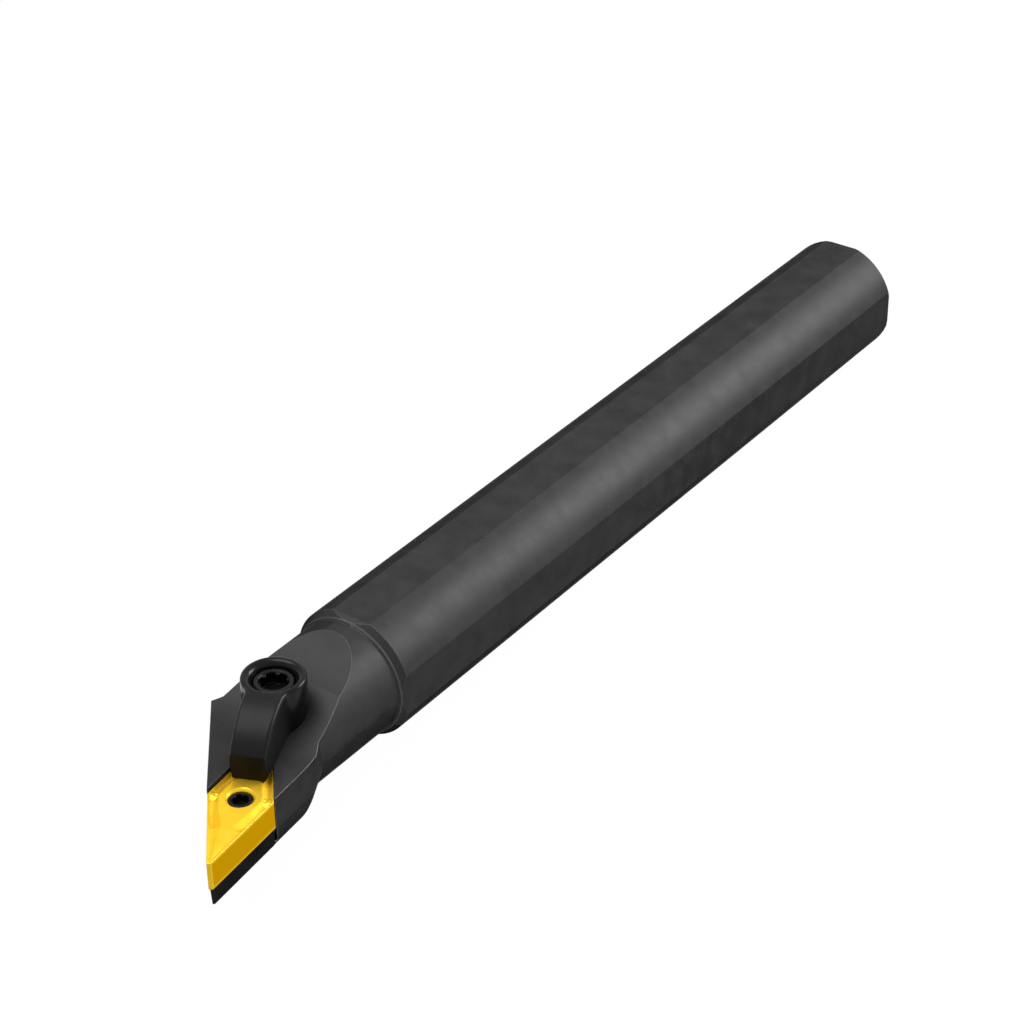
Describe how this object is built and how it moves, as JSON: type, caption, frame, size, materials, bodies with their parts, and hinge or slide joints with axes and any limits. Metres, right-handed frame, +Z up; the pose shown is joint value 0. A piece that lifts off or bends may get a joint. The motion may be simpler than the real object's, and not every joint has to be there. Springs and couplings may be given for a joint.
{
  "type": "boring bar",
  "caption": "Indexable boring bar with a flatted round shank and a clamped 35 degree rhombic insert.",
  "frame": {"origin": "shank axis at the rear end face", "axes": "+Z up out of the insert's cutting face, +Y along the shank out of its rear end, +X toward the side the insert's nose is offset to"},
  "size_m": [0.0244, 0.1984, 0.0215],
  "materials": {
    "bar_steel": "satin",
    "carbide": "satin",
    "gold_coating": "satin",
    "black_steel": "gloss"
  },
  "bodies": {
    "holder": {"bar_body": "bar_steel", "shim": "carbide", "insert": "gold_coating", "lock_pin": "black_steel"},
    "clamp_body": {"clamp": "black_steel"},
    "screw_body": {"clamp_screw": "black_steel", "retaining_ring": "black_steel"}
  },
  "joints": [
    {"name": "clamp_lift", "type": "slide", "parent": "holder", "child": "clamp_body", "axis": [0, 0, 1], "range_m": [0, 0.003]},
    {"name": "clamp_screw_turn", "type": "hinge", "parent": "clamp_body", "child": "screw_body", "pos_m": [0, -0.1678, 0], "axis": [0, 0, 1], "range_deg": [0, 1543]}
  ],
  "couplings": [
    {"joint": "clamp_screw_turn", "follows": "clamp_lift", "rad_per_m": 8976}
  ]
}
